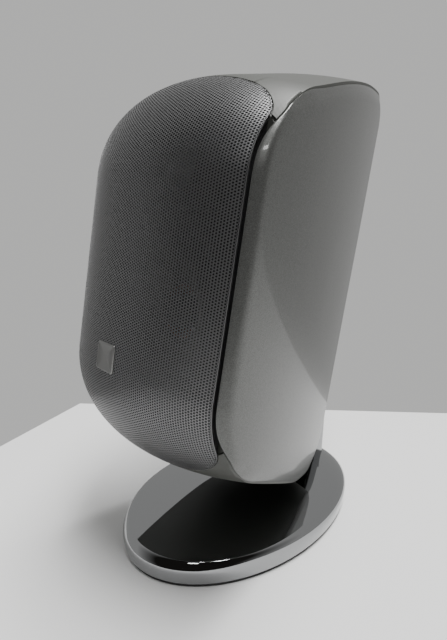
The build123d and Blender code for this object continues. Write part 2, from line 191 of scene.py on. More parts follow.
@dataclass(frozen=True)
class Finish:
    """A surface finish with a fine procedural grain.

    Attributes:
        name: material name, and the record's slot it stands for.
        color: base colour, linear.
        metallic: 0 to 1.
        roughness: mean roughness.
        spread: how far the roughness wanders.
        grain: scale of the fine grain, per metre.
        bump: strength of the grain's height.
        coat: clear coat weight.
        coat_roughness: roughness of the clear coat.
        sheen: weight of cloth sheen.
        specular: specular level of the base.
    """

    name: str
    color: Color
    metallic: float = 0.0
    roughness: float = 0.5
    spread: float = 0.06
    grain: float = 1500.0
    bump: float = 0.03
    coat: float = 0.0
    coat_roughness: float = 0.05
    sheen: float = 0.0
    specular: float = 0.5

    def build(self, effects: EffectLibrary):
        """Makes the material.

        Args:
            effects: the shared shader groups.

        Returns:
            The Blender material.
        """
        material = bpy.data.materials.new(self.name)
        material.use_nodes = True
        material.diffuse_color = (*self.color, 1.0)
        tree = material.node_tree
        shader = tree.nodes["Principled BSDF"]
        shader.inputs["Base Color"].default_value = (*self.color, 1.0)
        shader.inputs["Metallic"].default_value = self.metallic
        shader.inputs["Coat Weight"].default_value = self.coat
        shader.inputs["Coat Roughness"].default_value = self.coat_roughness
        shader.inputs["Sheen Weight"].default_value = self.sheen
        shader.inputs["Specular IOR Level"].default_value = self.specular
        grain = tree.nodes.new("ShaderNodeGroup")
        grain.node_tree = effects.groups[EffectLibrary.GRAIN]
        grain.inputs["Scale"].default_value = self.grain
        grain.inputs["Roughness"].default_value = self.roughness
        grain.inputs["Spread"].default_value = self.spread
        tree.links.new(grain.outputs["Roughness"], shader.inputs["Roughness"])
        if self.bump > 0.0:
            bump = tree.nodes.new("ShaderNodeBump")
            bump.inputs["Strength"].default_value = self.bump
            bump.inputs["Distance"].default_value = 0.0002
            tree.links.new(grain.outputs["Height"], bump.inputs["Height"])
            tree.links.new(bump.outputs["Normal"], shader.inputs["Normal"])
        self.decorate(tree, shader, effects)
        return material

    def decorate(self, tree, shader, effects: EffectLibrary) -> None:
        """Adds what a special finish has on top; a plain one has nothing.

        Args:
            tree: the material's node tree.
            shader: its Principled node.
            effects: the shared shader groups.
        """


@dataclass(frozen=True)
class FlakeFinish(Finish):
    """Metallic lacquer with fine flakes under a clear coat.

    Attributes:
        flake: colour of the flakes.
        amount: how strongly they show.
        flake_scale: flakes per metre.
    """

    flake: Color = (0.6, 0.6, 0.6)
    amount: float = 0.3
    flake_scale: float = 4500.0

    def decorate(self, tree, shader, effects: EffectLibrary) -> None:
        """Feeds the flakes into the base colour.

        Args:
            tree: the material's node tree.
            shader: its Principled node.
            effects: the shared shader groups.
        """
        node = tree.nodes.new("ShaderNodeGroup")
        node.node_tree = effects.groups[EffectLibrary.FLAKE]
        node.inputs["Scale"].default_value = self.flake_scale
        node.inputs["Base"].default_value = (*self.color, 1.0)
        node.inputs["Flake"].default_value = (*self.flake, 1.0)
        node.inputs["Amount"].default_value = self.amount
        tree.links.new(node.outputs["Color"], shader.inputs["Base Color"])


def all_finishes() -> list[Finish]:
    """Lists the finishes of the whole object.

    Returns:
        One finish for each material slot of the record.
    """
    return [
        Finish("grille_metal", (0.185, 0.185, 0.187), 0.8, 0.36, 0.04, 3000.0, 0.0),
        FlakeFinish("panel_silver", (0.068, 0.070, 0.066), 0.5, 0.36, 0.03, 2500.0, 0.012,
                    coat=0.35, coat_roughness=0.05, specular=0.35, flake=(0.22, 0.22, 0.215), amount=0.35),
        Finish("spine_grey", (0.044, 0.046, 0.040), 0.1, 0.48, 0.08, 2200.0, 0.08),
        Finish("badge_metal", (0.20, 0.20, 0.196), 0.85, 0.34, 0.05, 5000.0, 0.05),
        Finish("black_plastic", (0.010, 0.010, 0.0105), 0.0, 0.6, 0.08, 2500.0, 0.10),
        Finish("cast_alloy", (0.03, 0.03, 0.031), 0.3, 0.5, 0.1, 1800.0, 0.15),
        Finish("screw_steel", (0.07, 0.07, 0.072), 0.9, 0.4, 0.08, 3000.0, 0.05),
        Finish("soft_rubber", (0.02, 0.02, 0.02), 0.0, 0.62, 0.08, 1600.0, 0.06),
        Finish("woven_cone", (0.03, 0.028, 0.02), 0.0, 0.6, 0.1, 3500.0, 0.35),
        Finish("copper_winding", (0.16, 0.065, 0.035), 0.8, 0.35, 0.1, 4000.0, 0.2),
        Finish("treated_cloth", (0.12, 0.085, 0.05), 0.0, 0.8, 0.1, 3000.0, 0.4, sheen=0.3),
        Finish("plated_steel", (0.40, 0.40, 0.41), 1.0, 0.38, 0.08, 2000.0, 0.05),
        Finish("ferrite", (0.035, 0.035, 0.038), 0.1, 0.6, 0.1, 2000.0, 0.2),
        Finish("dome_metal", (0.16, 0.16, 0.165), 0.9, 0.35, 0.04, 3000.0, 0.02),
        Finish("contact_brass", (0.6, 0.42, 0.16), 1.0, 0.3, 0.08, 3000.0, 0.03),
        Finish("button_red", (0.35, 0.012, 0.012), 0.0, 0.3, 0.05, 2500.0, 0.03),
        Finish("button_black", (0.012, 0.012, 0.012), 0.0, 0.3, 0.05, 2500.0, 0.03),
        Finish("board_green", (0.02, 0.12, 0.04), 0.0, 0.35, 0.08, 2500.0, 0.05),
        Finish("capacitor_film", (0.45, 0.28, 0.03), 0.0, 0.3, 0.05, 2500.0, 0.02),
        Finish("resistor_body", (0.62, 0.60, 0.54), 0.0, 0.6, 0.08, 2500.0, 0.1),
        Finish("lead_jacket", (0.18, 0.012, 0.012), 0.0, 0.45, 0.05, 2500.0, 0.03),
        Finish("wadding", (0.7, 0.7, 0.67), 0.0, 0.95, 0.04, 900.0, 0.9, sheen=0.4),
        Finish("washer_nylon", (0.75, 0.74, 0.68), 0.0, 0.45, 0.05, 2500.0, 0.03),
        Finish("polished_chrome", (0.33, 0.335, 0.34), 1.0, 0.035, 0.03, 1200.0, 0.0),
        Finish("ballast_iron", (0.06, 0.06, 0.06), 0.5, 0.65, 0.1, 1500.0, 0.3),
        Finish("foot_rubber", (0.035, 0.035, 0.036), 0.0, 0.7, 0.08, 1800.0, 0.1),
    ]


class Palette:
    """Materials by slot name."""

    def __init__(self, effects: EffectLibrary) -> None:
        """Builds every finish.

        Args:
            effects: the shared shader groups.
        """
        self.materials = {finish.name: finish.build(effects) for finish in all_finishes()}

    def apply(self, obj, slot: str) -> None:
        """Gives a piece one finish.

        Args:
            obj: the mesh object.
            slot: the record's material slot.
        """
        obj.data.materials.clear()
        obj.data.materials.append(self.materials[slot])


# --------------------------------------------------------------------------- mesh helpers


def mesh_object(name: str, points: np.ndarray, faces: list, smooth: bool = True):
    """Makes a mesh object from points in metres.

    Args:
        name: object name.
        points: (n, 3) array.
        faces: vertex index tuples.
        smooth: whether the faces shade smoothly.

    Returns:
        The linked object.
    """
    mesh = bpy.data.meshes.new(name)
    mesh.from_pydata([tuple(p) for p in points], [], [tuple(f) for f in faces])
    mesh.update()
    mesh.validate()
    mesh.polygons.foreach_set("use_smooth", [smooth] * len(mesh.polygons))
    obj = bpy.data.objects.new(name, mesh)
    bpy.context.scene.collection.objects.link(obj)
    return obj


def recalculate(obj) -> None:
    """Points the faces of a closed piece outwards.

    Args:
        obj: the mesh object.
    """
    bm = bmesh.new()
    bm.from_mesh(obj.data)
    bmesh.ops.recalc_face_normals(bm, faces=bm.faces)
    bm.to_mesh(obj.data)
    bm.free()


def ring_faces(rings: int, count: int, closed: bool = True) -> list[tuple[int, ...]]:
    """Quads between consecutive rings of equal length.

    Args:
        rings: number of rings.
        count: points in each ring.
        closed: whether each ring closes on itself.

    Returns:
        The faces.
    """
    faces = []
    last = count if closed else count - 1
    for r in range(rings - 1):
        for i in range(last):
            j = (i + 1) % count
            faces.append((r * count + i, r * count + j, (r + 1) * count + j, (r + 1) * count + i))
    return faces


def capped_faces(rings: int, count: int, first: bool = True) -> list[tuple[int, ...]]:
    """Faces of a tube of closed rings with flat ends.

    Args:
        rings: number of rings.
        count: points in each ring.
        first: whether the first ring is closed too; the last one always is.

    Returns:
        The faces.
    """
    faces = ring_faces(rings, count)
    if first:
        faces.append(tuple(range(count))[::-1])
    faces.append(tuple(range((rings - 1) * count, rings * count)))
    return faces


def corner_turns(steps: int) -> list[tuple[int, int, float, float]]:
    """Directions round a rounded rectangle, corner by corner.

    Args:
        steps: points in each corner.

    Returns:
        For each point, the signs of its corner and the cosine and sine of its direction.
    """
    turns = []
    for sx, sy, start in ((1, 1, 0), (-1, 1, 90), (-1, -1, 180), (1, -1, 270)):
        for k in range(steps):
            a = math.radians(start + 90 * k / (steps - 1))
            turns.append((sx, sy, math.cos(a), math.sin(a)))
    return turns


# --------------------------------------------------------------------------- cabinet shape


@dataclass(frozen=True)
class CabinetShape:
    """The cabinet's envelope, in millimetres in its own frame.

    Attributes:
        lean: how far the cabinet leans back, in degrees.
        origin_y: world y of the frame's origin.
        origin_z: world z of the frame's origin.
        half_width: half width at the front crease.
        crease_depth: depth of that crease.
        rear_half_width: half width at the rear.
        rear_depth: depth of the rear.
        taper: how late the sides turn in.
        bow: bow of the front, depth per x squared.
        top_crown: crown of the top, drop per x squared.
        low_crown: crown of the bottom.
        front_top: height of the top line at the front.
        top_slope: its rise per unit depth there.
        front_low: depth of the bottom line at the front.
        low_slope: its fall per unit depth there.
        top_break: (s, v) where the top flattens.
        top_rear: (s, v) of the upper rear corner.
        low_rear: (s, v) of the lower rear corner.
        low_break: (s, v) where the bottom flattens.
        nose_radius: radius of both front corners.
        top_break_radius: radius of the top's dome.
        top_rear_radius: radius of the upper rear corner.
        low_rear_radius: radius of the lower rear corner.
        low_break_radius: radius of the bottom's bend.
    """

    lean: float = 10.2
    origin_y: float = -83.5
    origin_z: float = 154.55
    half_width: float = 57.0
    crease_depth: float = 20.8
    rear_half_width: float = 17.0
    rear_depth: float = 160.0
    taper: float = 1.6
    bow: float = 0.0064
    top_crown: float = 0.0038
    low_crown: float = 0.0033
    front_top: float = 76.4
    top_slope: float = 0.37
    front_low: float = 79.0
    low_slope: float = 0.289
    top_break: tuple[float, float] = (91.2, 108.6)
    top_rear: tuple[float, float] = (161.0, 117.4)
    low_rear: tuple[float, float] = (151.0, -112.5)
    low_break: tuple[float, float] = (104.0, -109.0)
    nose_radius: float = 53.0
    top_break_radius: float = 300.0
    top_rear_radius: float = 20.0
    low_rear_radius: float = 25.0
    low_break_radius: float = 90.0

    def width_at(self, s: float) -> float:
        """Half width at depth s.

        Args:
            s: depth behind the front.

        Returns:
            The half width of the cabinet there.
        """
        t = min(max((s - self.crease_depth) / (self.rear_depth - self.crease_depth), 0.0), 1.0)
        return self.rear_half_width + (self.half_width - self.rear_half_width) * (1 - t**self.taper)

    def outline(self, x: float, inset: float = 0.0, edge: float | None = None,
                arc_steps: int = 24) -> list[np.ndarray]:
        """Side outline at lateral position x, one array for each corner arc.

        Args:
            x: lateral position.
            inset: how far the outline is pulled in.
            edge: how far its top and bottom are pulled in, inset if left out.
            arc_steps: points in each corner arc.

        Returns:
            Arc points of the front top, top break, rear top, rear low, low break and front low.
        """
        top_drop = self.top_crown * x * x + (inset if edge is None else edge)
        low_drop = self.low_crown * x * x + (inset if edge is None else edge)
        front = self.bow * x * x + inset
        corners = [
            (front, self.front_top + self.top_slope * front - top_drop),
            (self.top_break[0], self.top_break[1] - top_drop),
            (self.top_rear[0] - inset, self.top_rear[1] - top_drop),
            (self.low_rear[0] - inset, self.low_rear[1] + low_drop),
            (self.low_break[0], self.low_break[1] + low_drop),
            (front, -(self.front_low + self.low_slope * front) + low_drop),
        ]
        nose = self.nose_radius - 0.0041 * x * x - inset
        radii = [nose, self.top_break_radius, self.top_rear_radius - inset,
                 self.low_rear_radius - inset, self.low_break_radius, nose]
        arcs = []
        for i, corner in enumerate(corners):
            here = np.array(corner)
            back = np.array(corners[i - 1]) - here
            ahead = np.array(corners[(i + 1) % len(corners)]) - here
            back = back / np.linalg.norm(back)
            ahead = ahead / np.linalg.norm(ahead)
            half = math.acos(float(np.clip(back @ ahead, -1, 1))) / 2
            reach = radii[i] / math.tan(half)
            middle = (back + ahead) / np.linalg.norm(back + ahead)
            centre = here + middle * radii[i] / math.sin(half)
            first = here + back * reach - centre
            last = here + ahead * reach - centre
            a0 = math.atan2(first[1], first[0])
            a1 = math.atan2(last[1], last[0])
            turn = (a1 - a0 + math.pi) % (2 * math.pi) - math.pi
            angles = a0 + turn * np.linspace(0, 1, arc_steps)
            arcs.append(centre + radii[i] * np.stack([np.cos(angles), np.sin(angles)], -1))
        return arcs

    def side_curve(self, x: float, inset: float = 0.0, edge: float | None = None,
                   straight: int = 30) -> np.ndarray:
        """Open outline from the lower rear over the front to the upper rear, evenly indexed.

        Args:
            x: lateral position.
            inset: how far the outline is pulled in.
            edge: how far its top and bottom are pulled in.
            straight: points on each straight stretch.

        Returns:
            (n, 2) array of (s, v), with the same meaning of each index at every x.
        """
        top_nose, top_bend, top_back, low_back, low_bend, low_nose = self.outline(x, inset, edge)
        pieces = [
            low_back,
            self.between(low_back[-1], low_bend[0], straight),
            low_bend,
            self.between(low_bend[-1], low_nose[0], straight),
            low_nose,
            self.between(low_nose[-1], top_nose[0], straight),
            top_nose,
            self.between(top_nose[-1], top_bend[0], straight),
            top_bend,
            self.between(top_bend[-1], top_back[0], straight),
            top_back,
        ]
        return np.concatenate(pieces)

    @staticmethod
    def between(a: np.ndarray, b: np.ndarray, count: int) -> np.ndarray:
        """Points strictly between a and b.

        Args:
            a: first point.
            b: last point.
            count: how many.

        Returns:
            (count, 2) array.
        """
        t = np.linspace(0, 1, count + 2)[1:-1, None]
        return a * (1 - t) + b * t

    def world(self, points: np.ndarray) -> np.ndarray:
        """Turns cabinet points in millimetres into the shared frame in metres.

        Args:
            points: (n, 3) array of (x, s, v).

        Returns:
            (n, 3) array in metres.
        """
        a = math.radians(self.lean)
        x, s, v = np.asarray(points, float).T
        y = self.origin_y + s * math.cos(a) + v * math.sin(a)
        z = self.origin_z - s * math.sin(a) + v * math.cos(a)
        return np.stack([x, y, z], -1) * MM


# --------------------------------------------------------------------------- sub-assemblies


@dataclass
class Grille:
    """Perforated sheet that wraps the front and ends on the top and the bottom.

    Attributes:
        shape: the cabinet's envelope.
        half_width: half width of the sheet, in millimetres.
        end_depth: depth where the sheet ends over the top and the bottom.
        pitch: distance between neighbouring holes.
        hole_radius: radius of one hole.
        thickness: thickness of the sheet.
        corner_width: width of the sheet's elliptical corners.
        corner_length: their developed length.
        hole_margin: plain border between the edge and the outermost holes' centres.
        spare_points: outline points kept beyond each end of the sheet.
    """

    shape: CabinetShape
    half_width: float = 51.3
    end_depth: float = 29.0
    pitch: float = 1.21
    hole_radius: float = 0.475
    thickness: float = 0.6
    corner_width: float = 15.0
    corner_length: float = 8.5
    hole_margin: float = 0.55
    spare_points: int = 12

    def __post_init__(self) -> None:
        """Develops the sheet: outline length at each lateral station."""
        self.stations = np.linspace(0.0, self.shape.half_width, 30)
        self.curves = []
        for x in self.stations:
            curve = self.shape.side_curve(float(x))
            low = np.argmax(curve[:, 0] < self.end_depth)
            high = len(curve) - np.argmax(curve[::-1, 0] < self.end_depth)
            part = curve[max(low - self.spare_points, 0):high + self.spare_points]
            length = np.concatenate([[0], np.cumsum(np.linalg.norm(np.diff(part, axis=0), axis=1))])
            middle = np.interp(0.0, part[:, 1], length)
            self.curves.append((length - middle, part))
        self.limit = [self._limit(c) for c in self.curves]

    def _limit(self, curve: tuple[np.ndarray, np.ndarray]) -> float:
        """Developed half length of the sheet at one station.

        Args:
            curve: (length, points) of the station.

        Returns:
            The developed length from mid-height to the sheet's end.
        """
        length, part = curve
        upper = part[:, 1] > 0
        return float(np.interp(self.end_depth, part[upper, 0], length[upper]))

    def locate(self, x: np.ndarray, length: np.ndarray, depth: float = 0.0) -> np.ndarray:
        """Cabinet points on the sheet for developed coordinates.

        Args:
            x: lateral positions.
            length: developed lengths from mid-height, as a share of the sheet's half length.
            depth: how far below the sheet's face.

        Returns:
            (n, 3) array of (x, s, v).
        """
        x = np.asarray(x, float)
        share = np.asarray(length, float)
        k = np.clip(np.abs(x) / self.stations[1], 0, len(self.stations) - 1.001)
        lower = k.astype(int)
        blend = k - lower
        out = np.zeros((len(x), 2))
        ahead = np.zeros((len(x), 2))
        for station in range(len(self.stations)):
            span, part = self.curves[station]
            for offset, weight in ((0, 1 - blend), (1, blend)):
                mask = lower + offset == station
                if not mask.any():
                    continue
                at = share[mask] * self.limit[station]
                for target, shift in ((out, 0.0), (ahead, 0.3)):
                    s = np.interp(at + shift, span, part[:, 0])
                    v = np.interp(at + shift, span, part[:, 1])
                    target[mask] += weight[mask, None] * np.stack([s, v], -1)
        if depth:
            along = ahead - out
            along /= np.linalg.norm(along, axis=1)[:, None] + 1e-12
            normal_s = along[:, 1]
            normal_v = -along[:, 0]
            tilt = 2 * self.shape.bow * x * np.clip(normal_s, 0, 1)
            scale = depth / np.sqrt(1 + tilt**2)
            out[:, 0] += normal_s * scale
            out[:, 1] += normal_v * scale
            x = x - tilt * scale
        return np.stack([x, out[:, 0], out[:, 1]], -1)

    def inside(self, x: np.ndarray, length: np.ndarray, margin: float) -> np.ndarray:
        """Whether developed points lie inside the rounded sheet by a margin.

        Args:
            x: lateral positions.
            length: developed lengths in millimetres.
            margin: distance to keep from the edge.

        Returns:
            A boolean array.
        """
        half = np.interp(np.abs(x), self.stations, self.limit)
        dx = np.abs(x) - (self.half_width - self.corner_width)
        dl = np.abs(length) - (half - self.corner_length)
        wide = self.corner_width - margin
        high = self.corner_length - margin
        corner = np.hypot(np.maximum(dx, 0) / wide, np.maximum(dl, 0) / high)
        return (corner <= 1) & (dx <= wide) & (dl <= high)

    def lattice(self) -> tuple[np.ndarray, np.ndarray]:
        """Hole centres on a hexagonal lattice with one direction upright.

        Returns:
            Lateral positions and developed lengths.
        """
        step_x = self.pitch * math.sqrt(3) / 2
        columns = int(self.half_width / step_x) + 1
        rows = int(max(self.limit) / self.pitch) + 1
        xs, ls = [], []
        for c in range(-columns, columns + 1):
            for r in range(-rows, rows + 1):
                xs.append(c * step_x)
                ls.append((r + 0.5 * (c % 2)) * self.pitch)
        x = np.array(xs)
        length = np.array(ls)
        keep = self.inside(x, length, self.hole_margin)
        return x[keep], length[keep]

    def share(self, x: np.ndarray, length: np.ndarray) -> np.ndarray:
        """Developed lengths as a share of the sheet's half length.

        Args:
            x: lateral positions.
            length: developed lengths in millimetres.

        Returns:
            The shares.
        """
        return length / np.interp(np.abs(x), self.stations, self.limit)

    def build_sheet(self):
        """Makes the sheet with one real hole for each lattice point.

        Returns:
            The mesh object.
        """
        x, length = self.lattice()
        angles = np.radians(60.0 * np.arange(6))
        count = len(x)
        layers = []
        for radius, depth in ((self.pitch / math.sqrt(3), 0.0), (self.hole_radius, 0.0),
                              (self.hole_radius, self.thickness)):
            px = (x[:, None] + radius * np.cos(angles)).ravel()
            pl = (length[:, None] + radius * np.sin(angles)).ravel()
            layers.append(self.locate(px, self.share(px, pl), depth))
        points = np.concatenate(layers)
        faces = []
        for n in range(count):
            for k in range(6):
                a, b = n * 6 + k, n * 6 + (k + 1) % 6
                faces.append((a, b, b + 6 * count, a + 6 * count))
                faces.append((a + 6 * count, b + 6 * count, b + 12 * count, a + 12 * count))
        obj = mesh_object("perforated_grille", self.shape.world(points), faces, smooth=False)
        bm = bmesh.new()
        bm.from_mesh(obj.data)
        weld = 0.02 * MM
        bmesh.ops.remove_doubles(bm, verts=bm.verts, dist=weld)
        loose = [v for v in bm.verts if not v.link_faces]
        bmesh.ops.delete(bm, geom=loose, context="VERTS")
        bmesh.ops.recalc_face_normals(bm, faces=bm.faces)
        centre = Vector(self.shape.world(np.array([[0.0, 60.0, 0.0]]))[0])
        sample = list(bm.faces)[:400]
        outwards = sum(1 for f in sample if f.normal.dot(f.calc_center_median() - centre) > 0)
        if outwards < len(sample) // 2:
            bmesh.ops.reverse_faces(bm, faces=bm.faces)
        bm.to_mesh(obj.data)
        bm.free()
        LOG.info("grille: %d holes", count)
        return obj

    def edge_loop(self, margin: float, count: int = 220) -> tuple[np.ndarray, np.ndarray]:
        """Points round the rounded sheet.

        Args:
            margin: distance inside the edge.
            count: number of points.

        Returns:
            Lateral positions and developed lengths.
        """
        xs, ls = [], []
        for cx, cy, cosine, sine in corner_turns(16):
            x = cx * (self.half_width - self.corner_width) + (self.corner_width - margin) * cosine
            half = float(np.interp(abs(x), self.stations, self.limit))
            xs.append(x)
            ls.append(cy * (half - self.corner_length) + (self.corner_length - margin) * sine)
        x = np.array(xs + xs[:1])
        length = np.array(ls + ls[:1])
        walk = np.concatenate([[0], np.cumsum(np.hypot(np.diff(x), np.diff(length)))])
        at = np.linspace(0, walk[-1], count, endpoint=False)
        return np.interp(at, walk, x), np.interp(at, walk, length)

    def build_rim(self):
        """Makes the plain rolled border round the holes.

        Returns:
            The mesh object.
        """
        rings = []
        for margin, depth in ((0.32, 0.4), (0.3, 0.05), (0.18, 0.06), (0.05, 0.2), (0.0, 0.5),
                              (0.02, 2.4), (0.3, 2.4), (0.32, 0.7)):
            x, length = self.edge_loop(margin)
            rings.append(self.locate(x, self.share(x, length), depth))
        count = len(rings[0])
        points = np.concatenate(rings)
        faces = ring_faces(len(rings), count)
        faces += [(i, (i + 1) % count, (len(rings) - 1) * count + (i + 1) % count,
                   (len(rings) - 1) * count + i) for i in range(count)]
        obj = mesh_object("grille_rim", self.shape.world(points), faces)
        recalculate(obj)
        return obj

    def build_corner(self, side: int, end: int, panel: "SidePanel"):
        """Makes the tip of the spine that fills one rounded corner of the sheet.

        Args:
            side: +1 right, -1 left.
            end: +1 top, -1 bottom.
            panel: the panel whose inner edge bounds the tip.

        Returns:
            The mesh object.
        """
        rows, columns = 44, 14
        sheet_gap, panel_gap, least_width = 0.45, 0.1, 0.05
        past_sheet, under_spine = 11.0, 1.0
        lift, sheet_wall, panel_wall = -0.05, 1.2, 1.8
        widest = self.half_width + 0.5
        corner_start = self.half_width - self.corner_width
        half = float(np.interp(46.0, self.stations, self.limit))
        bound = panel.perimeter()[1]
        bound = bound[(bound[:, 2] * end > 30) & (bound[:, 1] < 70)]
        bound = bound[np.argsort(bound[:, 1])]
        grid = []
        for j in range(rows + 1):
            offset = -self.corner_length + (self.corner_length + past_sheet) * j / rows
            inside = min(max(1 + offset / self.corner_length, 0.0), 1.0)
            start = corner_start + self.corner_width * math.sqrt(1 - inside**2) + sheet_gap
            start = min(start, widest) if offset < 0 else corner_start - under_spine
            share = (half + offset) / half
            stop = widest
            for _ in range(4):
                here = self.locate(np.array([stop]), np.array([share * end]))[0]
                stop = float(np.interp(here[1], bound[:, 1], bound[:, 0])) - panel_gap
            stop = max(stop, start + least_width)
            x = np.linspace(start, stop, columns)
            shares = np.full(columns, share * end)
            grid.append(np.concatenate([self.locate(x[:1], shares[:1], sheet_wall),
                                        self.locate(x, shares, lift),
                                        self.locate(x[-1:], shares[-1:], panel_wall)]))
        points = np.concatenate(grid)
        points[:, 0] *= side
        faces = ring_faces(len(grid), columns + 2, closed=False)
        name = f"spine_tip_{'right' if side > 0 else 'left'}_{'top' if end > 0 else 'bottom'}"
        obj = mesh_object(name, self.shape.world(points), faces)
        recalculate(obj)
        return obj

    def build(self, palette: Palette) -> None:
        """Makes the grille's pieces.

        Args:
            palette: the materials.
        """
        sheet = self.build_sheet()
        rim = self.build_rim()
        for obj in (sheet, rim):
            palette.apply(obj, "grille_metal")
            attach(obj, Body.CABINET.value)
        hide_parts("grille")
        for side in (1, -1):
            for end in (1, -1):
                tip = self.build_corner(side, end, SidePanel(self.shape, side))
                palette.apply(tip, "spine_grey")
                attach(tip, Body.CABINET.value)


@dataclass
class SidePanel:
    """Glossy side shell with a front bevel strip and rounded edges.

    Attributes:
        shape: the cabinet's envelope.
        side: +1 for the right panel, -1 for the left one.
        front_x: lateral position of the front edge.
        step: how far the panel sits below the spine at the top and the bottom.
        thickness: thickness of the panel, and the strip's width behind the nose.
        rear_inset: how far before the rear the panel ends.
        bevel: distance of the soft crease from the outline behind the nose.
        rear_bevel: the same distance at the rear.
        narrowing: depth over which the strip narrows behind the crease.
        flush_depth: depth up to which the panel's edge lies level with the spine.
        sinking: depth over which it then sinks by the step.
        middle: (s, v) of the side surface's middle.
        segments: points round the panel.
    """

    shape: CabinetShape
    side: int
    front_x: float = 52.4
    step: float = 1.0
    thickness: float = 1.4
    rear_inset: float = 2.5
    bevel: float = 4.8
    rear_bevel: float = 1.6
    narrowing: float = 8.7
    flush_depth: float = 30.0
    sinking: float = 25.0
    middle: tuple[float, float] = (92.0, 0.0)
    segments: int = 420

    @property
    def node(self) -> str:
        """Name of the CAD node this piece stands for."""
        return "side_panel_right" if self.side > 0 else "side_panel_left"

    def strip_width(self, x: float, s: float) -> float:
        """Width of the bevel strip at a point of the outline.

        Args:
            x: lateral position of the outline there.
            s: its depth.

        Returns:
            The width, measured across the cabinet.
        """
        t = min(max((s - self.shape.crease_depth) / self.narrowing, 0.0), 1.0)
        ease = t * t * (3 - 2 * t)
        return (x - self.front_x) * (1 - ease) + self.thickness * ease

    def perimeter(self) -> tuple[np.ndarray, np.ndarray]:
        """Closed edge of the side surface with the strip beside it.

        Returns:
            Points where the skin meets the side surface, and points of the strip's inner edge.
        """
        family = np.linspace(14.0, self.shape.half_width, 87)
        flush = np.stack([self.shape.side_curve(float(x)) for x in family])
        sunk = np.stack([self.shape.side_curve(float(x), 0.0, self.step) for x in family])
        sinking = np.clip((flush[:, :, :1] - self.flush_depth) / self.sinking, 0.0, 1.0)
        curves = flush + (sunk - flush) * sinking
        outer, edge = [], []
        for i in range(curves.shape[1]):
            widths = np.array([self.shape.width_at(float(s)) for s in curves[:, i, 0]])
            gap = widths - family
            crossing = float(np.interp(0.0, gap[::-1], family[::-1]))
            x = self.shape.half_width if gap[-1] >= 0 else crossing
            point = [np.interp(x, family, curves[:, i, k]) for k in (0, 1)]
            inner_x = x - self.strip_width(x, float(point[0]))
            outer.append((x, *point))
            edge.append((inner_x, *[np.interp(inner_x, family, curves[:, i, k]) for k in (0, 1)]))
        return np.array(outer), np.array(edge)

    def resample(self, loops: list[np.ndarray], count: int) -> list[np.ndarray]:
        """Evens out the loops together, by the length of the first.

        Args:
            loops: arrays of equal length.
            count: points wanted.

        Returns:
            The resampled loops.
        """
        lead = np.concatenate([loops[0], loops[0][:1]])
        walk = np.concatenate([[0], np.cumsum(np.linalg.norm(np.diff(lead, axis=0), axis=1))])
        at = np.linspace(0, walk[-1], count, endpoint=False)
        out = []
        for loop in loops:
            closed = np.concatenate([loop, loop[:1]])
            out.append(np.stack([np.interp(at, walk, closed[:, k]) for k in range(3)], -1))
        return out

    def build(self, palette: Palette) -> None:
        """Makes the panel.

        Args:
            palette: the materials.
        """
        outer, edge = self.resample(list(self.perimeter()), self.segments)
        limit = self.shape.rear_depth - self.rear_inset
        for loop in (outer, edge):
            loop[:, 1] = np.minimum(loop[:, 1], limit)
        centre = np.array(self.middle)

        def on_side(points: np.ndarray) -> np.ndarray:
            """Points of the side surface at these (s, v)."""
            widths = np.array([self.shape.width_at(float(s)) for s in points[:, 0]])
            return np.stack([widths, points[:, 0], points[:, 1]], -1)

        flat = outer[:, 1:]
        inward = centre - flat
        inward /= np.linalg.norm(inward, axis=1)[:, None]
        bevel_start, bevel_run = 21.5, 14.0
        rear_start, rear_run = 138.0, 16.0
        soft_before, soft_after, inner_wall = 2.2, 2.4, 2.4
        t = np.clip((flat[:, 0] - bevel_start) / bevel_run, 0.0, 1.0)[:, None]
        rear = np.clip((flat[:, 0] - rear_start) / rear_run, 0.0, 1.0)[:, None]
        bevel = self.bevel * t * (1 - rear) + self.rear_bevel * rear
        corner = outer * (1 - t) + on_side(flat + inward * bevel) * t
        strip = corner - edge
        length = np.linalg.norm(strip, axis=1)[:, None]
        before = corner - strip / length * np.minimum(soft_before, 0.45 * length)
        after = on_side(flat + inward * (bevel + soft_after))
        toward = np.stack([np.zeros(len(flat)), inward[:, 0], inward[:, 1]], -1)
        rings = [edge + toward * inner_wall, edge + toward * 0.5 + strip * 0.01,
                 edge + toward * 0.12 + strip * 0.03, edge + strip * 0.07, edge + (before - edge) * 0.5]
        for u in (0.0, 0.2, 0.4, 0.6, 0.8):
            rings.append((1 - u) ** 2 * before + 2 * u * (1 - u) * corner + u * u * after)
        rings.append(after)
        for share in (0.97, 0.92, 0.85, 0.76, 0.66, 0.55, 0.43, 0.3, 0.16, 0.05):
            rings.append(on_side(centre + (after[:, 1:] - centre) * share))
        count = len(outer)
        points = np.concatenate(rings + [on_side(centre[None, :])])
        faces = ring_faces(len(rings), count)
        hub = len(points) - 1
        last = (len(rings) - 1) * count
        faces += [(last + i, last + (i + 1) % count, hub) for i in range(count)]
        points[:, 0] *= self.side
        obj = mesh_object(self.node + "_shell", self.shape.world(points), faces)
        recalculate(obj)
        palette.apply(obj, "panel_silver")
        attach(obj, Body.CABINET.value)
        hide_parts(self.node)


